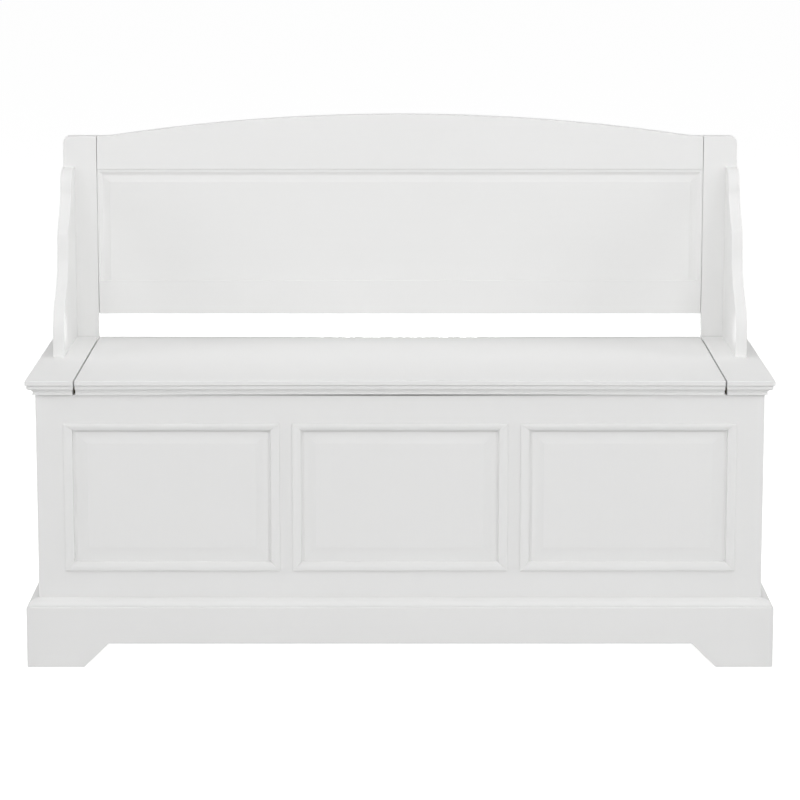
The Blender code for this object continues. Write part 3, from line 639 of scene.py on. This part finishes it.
def cove_profile(back, depth):
    """(out, height) points of the cove stick: an eased fillet, a hollow that turns out again, a flat foot.

    The hollow is part of an ellipse of that depth, from its top to COVE_TURN degrees past its deepest
    point.
    """
    low, high = box_of("lid_moulding")
    out, ease = BOX_FACE - low[1] - COVE_SETBACK, COVE_FILLET / 2
    tall = (high[2] - low[2] - COVE_FILLET - COVE_FOOT) / (1 + math.sin(math.radians(COVE_TURN)))
    arris = quarter((out - ease, high[2] - ease), ease, 90, 0, 3)
    ellipse = quarter((0, 0), 1, 90, 180 + COVE_TURN, 12) * (depth, tall)
    hollow = ellipse + (out, high[2] - COVE_FILLET - tall)
    return np.concatenate([[(back, high[2])], arris, hollow, [(hollow[-1, 0], low[2]), (back, low[2])]])


out, height = nosing_steps()
plain = eased_side(height)
cove_back = BOX_FACE - box_of("lid_moulding")[1][1]
cove, cove_return = cove_profile(cove_back, COVE_DEPTH), cove_profile(HAIR, RETURN_DEPTH)
cap_corners = [CAP_CORNER, SEAT_EASE, SEAT_EASE, SLOT_CORNER]
for word, side in (("left", -1), ("right", 1)):
    low, high = box_of(f"end_cap_{word}")
    inner = min(abs(low[0]), abs(high[0]))
    edges = side * (inner + CAP_BACK + plain), side * (BOX_HALF + out)
    sides = *edges[::side], BOX_FACE - out, BOX_REAR - CAP_REAR_GAP - plain
    skin(f"end_cap_{word}", PAINT[1], [framed(2, sides, height, cap_corners[::side])], sharp=35)
    places = [(side * (inner + COVE_SHORT), BOX_FACE, 0), (side * BOX_HALF, BOX_FACE, 0)]
    places += [(side * BOX_HALF, BOX_REAR, 0)]
    rings = carried(cove, places, [(0, -1, 0), (0, -1, 0), (0, 0, 0)])
    rings[1:, :, 0] += side * cove_return[:, 0]
    skin(f"cap_moulding_{word}", PAINT[1], [rings], sharp=20)
    board(f"cap_bearer_{word}", 1, SAWN_EASE, material=PINE[1])

# Lid
# One wide board, bowed up a little in the middle of its front, with the same nosing and a cove stick
# glued under it. Its rear corners are rounded off to clear the back, and it closes on two felt pads stuck
# to the front rail.
LID_CORNER = 0.005
LID_BACK = 0.0003
LID_BOW = 0.0011
BOW_REAR = 0.004
BOW_STEPS = 40
STRIP_SPAN = (0.99, 0.02, 1)
STRIP_INSET = 0.006
STICK_SHORT = 0.0008
FELT_EDGE = 0.0006
FELT_PALE = (0.60, 0.59, 0.56, 1.0)
FELT_DARK = (0.44, 0.43, 0.40, 1.0)


def arched(across):
    """Share of the bow at a place across the lid: a parabola, 1 in the middle and 0 at both ends."""
    return 1 - (across / seat_high[0]) ** 2


def bowed(rings):
    """Raises rings of the lid by its bow, which fades evenly from the front to nothing near the rear."""
    fade = np.clip((BOX_REAR - BOW_REAR - rings[..., 1]) / (BOX_REAR - BOX_FACE), 0, 1)
    lift = LID_BOW * arched(rings[..., 0]) * fade
    return rings + lift[..., None] * (0, 0, 1)


def closed(rings):
    """Adds a ring inside each face, a narrow strip along the lid's rear, so that the bow runs smoothly."""
    strip = rings[[0, -1]] * STRIP_SPAN + (0, BOX_REAR - STRIP_INSET, 0)
    strip[..., 1] -= BOW_REAR * arched(strip[..., 0])
    return np.concatenate([strip[:1], rings, strip[1:]])


left, right = seat_low[0] + LID_BACK + plain, seat_high[0] - LID_BACK - plain
sides = left, right, BOX_FACE - out, BOX_REAR - plain
rings = framed(2, sides, height, (SLOT_CORNER, LID_CORNER, LID_CORNER, SLOT_CORNER), 8)
front = np.linspace(rings[:, -1], rings[:, 0], BOW_STEPS, axis=1)[:, 1:-1]
rings = np.concatenate([rings, front], 1)
skin("lid_board", PAINT[0], [bowed(closed(rings))], sharp=35)
low, high = box_of("lid_moulding")
start, end = (low[0] + STICK_SHORT, BOX_FACE, 0), (high[0] - STICK_SHORT, BOX_FACE, 0)
rings = carried(cove, np.linspace(start, end, BOW_STEPS), [(0, -1, 0)] * BOW_STEPS)
skin("lid_moulding", PAINT[0], [bowed(rings)], sharp=20)
FELT = speckled("bumper_felt", FELT_PALE, FELT_DARK, 2600.0, 0.92, 0.0002)
for word in ("left", "right"):
    low, high = box_of(f"lid_bumper_{word}")
    radius, thick = (high[0] - low[0]) / 2, high[2] - low[2]
    edge = quarter((radius - FELT_EDGE, thick - FELT_EDGE), FELT_EDGE, 0, 90)
    rings = turned([(radius, 0), *edge], [*(low + high)[:2] / 2, low[2]], (0, 0, 1))
    skin(f"lid_bumper_{word}", FELT, [rings])

# Hinges
# Two butt hinges of stamped steel, satin nickel plated, each with five knuckles round a pin. One leaf is
# screwed to the top edge of the box's back and the other to the underside of the lid.
LEAF_WIDTH = 0.017
LEAF_THICK = 0.002
LEAF_GAP = 0.0006
LEAF_EASE = 0.0003
LEAF_CORNER = 0.0009
BARREL_RADIUS = 0.005
BARREL_GAP = 0.0005
KNUCKLES = 5
KNUCKLE_GAP = 0.0004
KNUCKLE_EASE = 0.0004
WEB_LAP = 0.003
WEB_REACH = 0.002
WEB_INSET = 0.0004
PIN_EASE = 0.0005
SCREW_RADIUS = 0.0033
SCREW_STAND = 0.00024
SCREW_SPREAD = 0.34
HEAD_CENTRE = 0.04
HEAD_POWER = 6
RECESS_DEPTH = 0.92
SLOT_HALF = 0.20
SLOT_TAPER = 0.12
SLOT_REACH = 0.62
SLOT_STEEP = 16
END_STEEP = 10
NICKEL = (0.60, 0.59, 0.57, 1.0)
NICKEL_DARK = (0.52, 0.51, 0.49, 1.0)


def plated(name, colour, tint, stretch, roughness):
    """Plated steel: fine brushed streaks in its colour and gloss, stretched by the scale on each axis."""
    material, tree, place = surface(name)
    drawn = add(tree, "ShaderNodeMapping", {"Vector": place, "Scale": stretch}).outputs[0]
    streaks = noise(tree, drawn, 1.0, 4.0)
    mixed = add(tree, "ShaderNodeMix", {"Factor": streaks, "A": colour, "B": tint}, data_type="RGBA")
    rough = swing(tree, streaks, roughness, 0.16)
    shader = coat(tree, mixed.outputs[2], rough, streaks, 0.3, 0.00002)
    shader.inputs["Metallic"].default_value = 1.0
    return material


def socket_head(centre, axis, radius, stand, recess):
    """Rings of a low screw head: its height over the face is stand, rounded at the rim, less the recess.

    The round is the square root of 1 less a power of the reach from the centre. The recess is a function
    of the two places across the head, measured in radii, and gives 0 to 1.
    """
    reach = np.concatenate([[1.0], np.linspace(1, HEAD_CENTRE, 25)])[:, None]
    turn = np.linspace(0, 2 * np.pi, 96, endpoint=False)
    a, b = reach * np.cos(turn), reach * np.sin(turn)
    lift = stand * (np.sqrt(np.clip(1 - reach**HEAD_POWER, 0, 1)) - RECESS_DEPTH * recess(a, b))
    lift[0] = -stand
    axis, aside, other = upright(axis)
    flat = a[..., None] * aside + b[..., None] * other
    return np.array(centre, float) + radius * flat + lift[..., None] * axis


def cross(a, b):
    """A cross recess: 1 inside two crossing slots that narrow to their ends, 0 outside, with steep edges."""
    near, far = np.minimum(abs(a), abs(b)), np.maximum(abs(a), abs(b))
    slot = np.clip((SLOT_HALF - SLOT_TAPER * far - near) * SLOT_STEEP, 0, 1)
    return slot * np.clip((SLOT_REACH - far) * END_STEEP, 0, 1)


NICKEL_PLATE = plated("satin_nickel", NICKEL, NICKEL_DARK, (30.0, 1400.0, 1400.0), 0.34)
ring = np.radians(np.linspace(0, 360, 40, endpoint=False))
for word in ("left", "right"):
    low, high = box_of(f"hinge_{word}_pin")
    start, end, level = low[0], high[0], (low + high)[2] / 2
    middle, depth = (start + end) / 2, (low + high)[1] / 2
    root = depth - BARREL_RADIUS - BARREL_GAP
    barrel = np.stack([depth + BARREL_RADIUS * np.cos(ring), level + BARREL_RADIUS * np.sin(ring)], 1)
    pitch = (end - start) / KNUCKLES
    for leaf, way, first in (("box", -1, 0), ("lid", 1, 1)):
        inset, along = (steps.ravel() for steps in rim_steps(start, end, LEAF_EASE))
        face = level + way * LEAF_GAP / 2
        near, far = sorted((face, face + way * LEAF_THICK))
        sides = root - LEAF_WIDTH + inset, root - inset, near + inset, far - inset
        shells = [framed(0, sides, along, (LEAF_EASE, LEAF_EASE, LEAF_CORNER, LEAF_CORNER))]
        web = root - WEB_LAP, depth - WEB_REACH, near + WEB_INSET, far - WEB_INSET
        for index in range(first, KNUCKLES, 2):
            left = start + index * pitch + KNUCKLE_GAP / 2
            right = left + pitch - KNUCKLE_GAP
            shells.append(slab(barrel, 0, left, right, KNUCKLE_EASE))
            shells.append(framed(0, web, np.array([left, right]), LEAF_EASE))
        for offset in (-SCREW_SPREAD, 0, SCREW_SPREAD):
            spot = middle + offset * (end - start), root - LEAF_WIDTH / 2, face
            shells.append(socket_head(spot, (0, 0, -way), SCREW_RADIUS, SCREW_STAND, cross))
        skin(f"hinge_{word}_{leaf}_leaf", NICKEL_PLATE, shells, sharp=40)
    eased = (high - low)[2] / 2 - PIN_EASE
    foot = quarter((eased, PIN_EASE), PIN_EASE, -90, 0, 4)
    dome = quarter((eased, end - start - PIN_EASE), PIN_EASE, 0, 90, 4)
    rings = turned([*foot, *dome], (start, depth, level), (1, 0, 0), 40)
    skin(f"hinge_{word}_pin", NICKEL_PLATE, [rings])

# Back frame
# Two stiles run down behind the box. The arched top rail and the bottom rail are dowelled between them and
# left unfilled, so that their end joints show as fine dark lines.
STILE_CORNER = 0.012
STILE_RIM = 0.001
STILE_FOOT = 0.0011
INNER_BAND = 0.002
RAIL_RIM = 0.0005
RAIL_GAP = 0.0006
RAIL_GROWTH = 1.3 * HAIR
ARCH_FLAT = 0.022
ARCH_BLEND = 0.0012
ARCH_STEPS = 160
HEAD_STAND = 0.0008

low, high = box_of("back_top_rail")
stile_top = box_of("back_stile_left")[1][2]
low[0], high[0] = low[0] + RAIL_GAP, high[0] - RAIL_GAP
chord, rise = high[0] - ARCH_FLAT, high[2] - stile_top
arch_radius = (chord**2 + rise**2) / (2 * rise)
across = np.linspace(high[0], low[0], ARCH_STEPS)
arc = np.sqrt(arch_radius**2 - across**2) - arch_radius + rise
crown = stile_top + (arc + np.sqrt(arc**2 + ARCH_BLEND**2)) / 2
crown -= crown.max() - high[2]
outline = np.concatenate([[(low[0], low[2]), (high[0], low[2])], np.stack([across, crown], 1)])
skin("back_top_rail", PAINT[0], [slab(outline, 1, low[1], high[1], RAIL_RIM)])
board("back_bottom_rail", 0, RAIL_RIM, grow=(-RAIL_GAP, 0, RAIL_GROWTH))
for word, side in (("left", -1), ("right", 1)):
    low, high = box_of(f"back_stile_{word}")
    inner, outer = sorted((low[0], high[0]), key=abs)
    corners = [(inner, low[2], STILE_RIM), (outer, low[2], STILE_FOOT)]
    corners += [(outer, high[2], STILE_CORNER), (inner, high[2], STILE_RIM)]
    outline = rounded(corners[::side], 10)
    rim = np.where(abs(outline[:, 0]) < abs(inner) + INNER_BAND, RAIL_RIM, STILE_RIM)
    skin(f"back_stile_{word}", PAINT[2], [slab(outline, 1, low[1], high[1] - HEAD_STAND, rim)])

# Back panel
# One panel held between the stiles and rails, a little behind their face. A flat strip runs round it,
# then a shallow groove from which a narrow bevel rises to the field. At the bottom, the field runs down to
# the rail and the rest of the edge is a tongue in it.
BACK_SETBACK = 0.003
STRIP_RISE = 0.0016
STRIP_WIDTH = 0.0036
STRIP_ROLL = 0.002
GROOVE_ROLL = 0.0025
GROOVE_PLACE = 0.011
GROOVE_DEPTH = 0.0024
FIELD_EDGE = 0.023
TONGUE = [(0, -FIELD_EDGE), (FIELD_EDGE, 0)]
HEAD = [(HAIR, 0), (FIELD_EDGE, FIELD_EDGE)]

face = box_of("back_bottom_rail")[0][1] + BACK_SETBACK
brink, pull = (STRIP_WIDTH, -STRIP_RISE), (STRIP_WIDTH + STRIP_ROLL, -STRIP_RISE)
fall = bezier(brink, pull, (GROOVE_PLACE - GROOVE_ROLL, GROOVE_DEPTH), (GROOVE_PLACE, GROOVE_DEPTH), 10)
edge = [(HAIR, -STRIP_RISE), *fall, *scoop(GROOVE_PLACE, FIELD_EDGE, GROOVE_DEPTH)[1:]]
skin("back_panel", PAINT[0], [raised("back_panel", face, edge, TONGUE, HEAD)], sharp=14)

# Wings
# S-shaped end boards, sawn to shape, their curved edges rounded over by hand. They stand on the seat ends
# and are screwed to the stiles from behind.
WING_TOP = 0.061
WING_TOP_ROUND = 0.038
SHOULDER_OUT = 0.126
SHOULDER_DROP = 0.104
SHOULDER_PULL = 0.35
WING_TOE = 0.036
WING_RIM = 0.0018
PLAIN_BAND = 0.001
OGEE_UPPER_PULL = 0.74
OGEE_LOWER_PULL = 0.47
OGEE_CUT = 8
HOLLOW_CUT = 6

for word in ("left", "right"):
    low, high = box_of(f"wing_{word}")
    rear, seat, top = high[1] + HAIR, low[2] - HAIR, high[2]
    reach = rear - low[1]
    toe, shoulder = (reach, seat + WING_TOE), (SHOULDER_OUT, top - SHOULDER_DROP)
    crook = (WING_TOP, top - WING_TOP_ROUND)
    rise, climb = shoulder[1] - toe[1], crook[1] - shoulder[1]
    swell, waist = toe[1] + OGEE_LOWER_PULL * rise, shoulder[1] - OGEE_UPPER_PULL * rise
    ogee = bezier(toe, (toe[0], swell), (shoulder[0], waist), shoulder, 48)
    hollow = bezier(shoulder, shoulder, (crook[0], crook[1] - SHOULDER_PULL * climb), crook, 20)
    crown = quarter((WING_TOP - WING_TOP_ROUND, crook[1]), WING_TOP_ROUND, 0, 90, 16)
    bend = bezier(ogee[-OGEE_CUT], shoulder, shoulder, hollow[HOLLOW_CUT], 12)
    front = np.concatenate([ogee[:-OGEE_CUT], bend, hollow[HOLLOW_CUT + 1:], crown[1:]])
    outline = np.concatenate([[(0, seat), (reach, seat)], front, [(0, top)]])
    joint = (outline[:, 0] < PLAIN_BAND) | (outline[:, 1] < seat + PLAIN_BAND)
    rim = np.where(joint, HAIR, WING_RIM)
    outline[:, 0] = rear - outline[:, 0]
    skin(f"wing_{word}", PAINT[2], [slab(outline[::-1], 0, low[0], high[0], rim[::-1])])

# Bolts and screws behind
# Zinc plated bolts with low hexagon-socket heads hold the stiles to the box. Countersunk wood screws with
# a cross recess hold the wings to the stiles.
ZINC = (0.50, 0.50, 0.51, 1.0)
ZINC_DARK = (0.40, 0.41, 0.43, 1.0)
BOLT_HEAD = 0.0085
HEX_HALF = 0.36
HEX_STEEP = 24
WOOD_SCREW = 0.004
SCREW_INSET = 0.05


def hexagon(a, b):
    """A hexagon socket: 1 where all three of its width directions lie within the flats, with steep edges."""
    turn = np.radians([0, 60, 120]).reshape(3, 1, 1)
    across = abs(a * np.cos(turn) + b * np.sin(turn)).max(0)
    return np.clip((HEX_HALF - across) * HEX_STEEP, 0, 1)


ZINC_PLATE = plated("zinc_plate", ZINC, ZINC_DARK, (500.0, 500.0, 500.0), 0.38)
for word in ("left", "right"):
    rear = box_of(f"back_stile_{word}")[1][1] - HEAD_STAND
    for row in ("upper", "lower"):
        low, high = box_of(f"back_bolt_{row}_{word}")
        spot = (low + high)[0] / 2, rear, (low + high)[2] / 2
        rings = socket_head(spot, (0, 1, 0), BOLT_HEAD, HEAD_STAND, hexagon)
        skin(f"back_bolt_{row}_{word}", ZINC_PLATE, [rings], sharp=40)
    low, high = box_of(f"wing_{word}")
    shells = [
        socket_head(((low + high)[0] / 2, rear, level), (0, 1, 0), WOOD_SCREW, HEAD_STAND / 2, cross)
        for level in np.linspace(low[2] + SCREW_INSET, high[2] - SCREW_INSET, 3)
    ]
    skin(f"back_stile_{word}", ZINC_PLATE, shells, sharp=40, name=f"wing_{word}_screws")

# Floor, light and camera
# A wide pale floor under soft lamps in front, at both sides and overhead, with a weak one low behind. A
# long lens looks down on the seat a little.
AMBIENT = 0.02
PLAIN_WHITE = (1, 1, 1, 1)
FLOOR_GLOW = 0.97
FLOOR_GREY = (0.8, 0.8, 0.8, 1)
FLOOR_REACH = 120.0
CAMERA_PLACE = (0.0, -5.5645, 1.4217)
CAMERA_PITCH = 10.213
CAMERA_LENS = 144.71
CAMERA_SENSOR = 36.0


def seen(tree):
    """1 on rays that come from the camera or by way of gloss or glass, and 0 on the others."""
    path = add(tree, "ShaderNodeLightPath").outputs
    rays = {0: path["Is Camera Ray"], 1: path["Is Glossy Ray"]}
    direct = add(tree, "ShaderNodeMath", rays, operation="MAXIMUM").outputs[0]
    rays = {0: direct, 1: path["Is Transmission Ray"]}
    return add(tree, "ShaderNodeMath", rays, operation="MAXIMUM").outputs[0]


world = bpy.data.worlds.new("room")
bpy.context.scene.world = world
world.use_nodes = True
tree = world.node_tree
tree.nodes.clear()
around = add(tree, "ShaderNodeBackground", {"Color": PLAIN_WHITE, "Strength": AMBIENT}).outputs[0]
white = add(tree, "ShaderNodeBackground", {"Color": PLAIN_WHITE, "Strength": 1.0}).outputs[0]
mixed = add(tree, "ShaderNodeMixShader", {0: seen(tree), 1: around, 2: white})
add(tree, "ShaderNodeOutputWorld", {"Surface": mixed.outputs[0]})

floor_finish = bpy.data.materials.new("pale_floor")
floor_finish.use_nodes = True
tree = floor_finish.node_tree
tree.nodes.clear()
glow = add(tree, "ShaderNodeMath", {0: seen(tree), 1: FLOOR_GLOW}, operation="MULTIPLY")
shine = add(tree, "ShaderNodeEmission", {"Color": PLAIN_WHITE, "Strength": glow.outputs[0]})
matt = add(tree, "ShaderNodeBsdfDiffuse", {"Color": FLOOR_GREY})
both = add(tree, "ShaderNodeAddShader", {0: shine.outputs[0], 1: matt.outputs[0]})
add(tree, "ShaderNodeOutputMaterial", {"Surface": both.outputs[0]})
mesh = bpy.data.meshes.new("floor")
corners = FLOOR_REACH * np.array([(-1, -1, 0), (1, -1, 0), (1, 1, 0), (-1, 1, 0)])
mesh.from_pydata(corners, [], [(0, 1, 2, 3)])
mesh.materials.append(floor_finish)
floor = bpy.data.objects.new("floor", mesh)
bpy.context.scene.collection.objects.link(floor)

for name, place, aim, size, power in (
    ("front_softbox", (0, -4.4, 1.9), (0, 0, 0.5), 2.2, 40.0),
    ("left_low", (-1.85, -3.6, 1.15), (0, 0, 0.6), 0.7, 5.9),
    ("right_low", (1.85, -3.6, 1.15), (0, 0, 0.6), 0.7, 6.9),
    ("left_key", (-1.97, -2.82, 2.91), (0, 0, 0.5), 2.0, 29.5),
    ("right_key", (1.97, -2.82, 2.91), (0, 0, 0.5), 2.0, 33.0),
    ("left_side", (-2.6, -0.3, 1.5), (0, 0, 0.6), 1.6, 22.5),
    ("right_side", (2.6, -0.3, 1.5), (0, 0, 0.6), 1.6, 24.0),
    ("front_top", (0, -1.2, 2.8), (0, 0, 0.5), 1.2, 7.0),
    ("top_softbox", (0, 0.4, 2.6), (0, 0, 0.5), 1.4, 10.6),
    ("rear_fill", (0, 3.4, 0.24), (0, 0, 0.4), 0.46, 30.0),
):
    lamp = bpy.data.lights.new(name, "AREA")
    lamp.size, lamp.energy = size, power
    source = bpy.data.objects.new(name, lamp)
    bpy.context.scene.collection.objects.link(source)
    source.location = place
    toward = np.array(aim) - np.array(place)
    tilt = math.atan2(math.hypot(*toward[:2]), -toward[2])
    source.rotation_euler = (tilt, 0, math.atan2(-toward[0], toward[1]))

lens = bpy.data.cameras.new("camera")
lens.lens, lens.sensor_width = CAMERA_LENS, CAMERA_SENSOR
camera = bpy.data.objects.new("camera", lens)
bpy.context.scene.collection.objects.link(camera)
camera.location = CAMERA_PLACE
camera.rotation_euler = (math.radians(90 - CAMERA_PITCH), 0, 0)
bpy.context.scene.camera = camera
bpy.context.scene.view_settings.view_transform = "Standard"
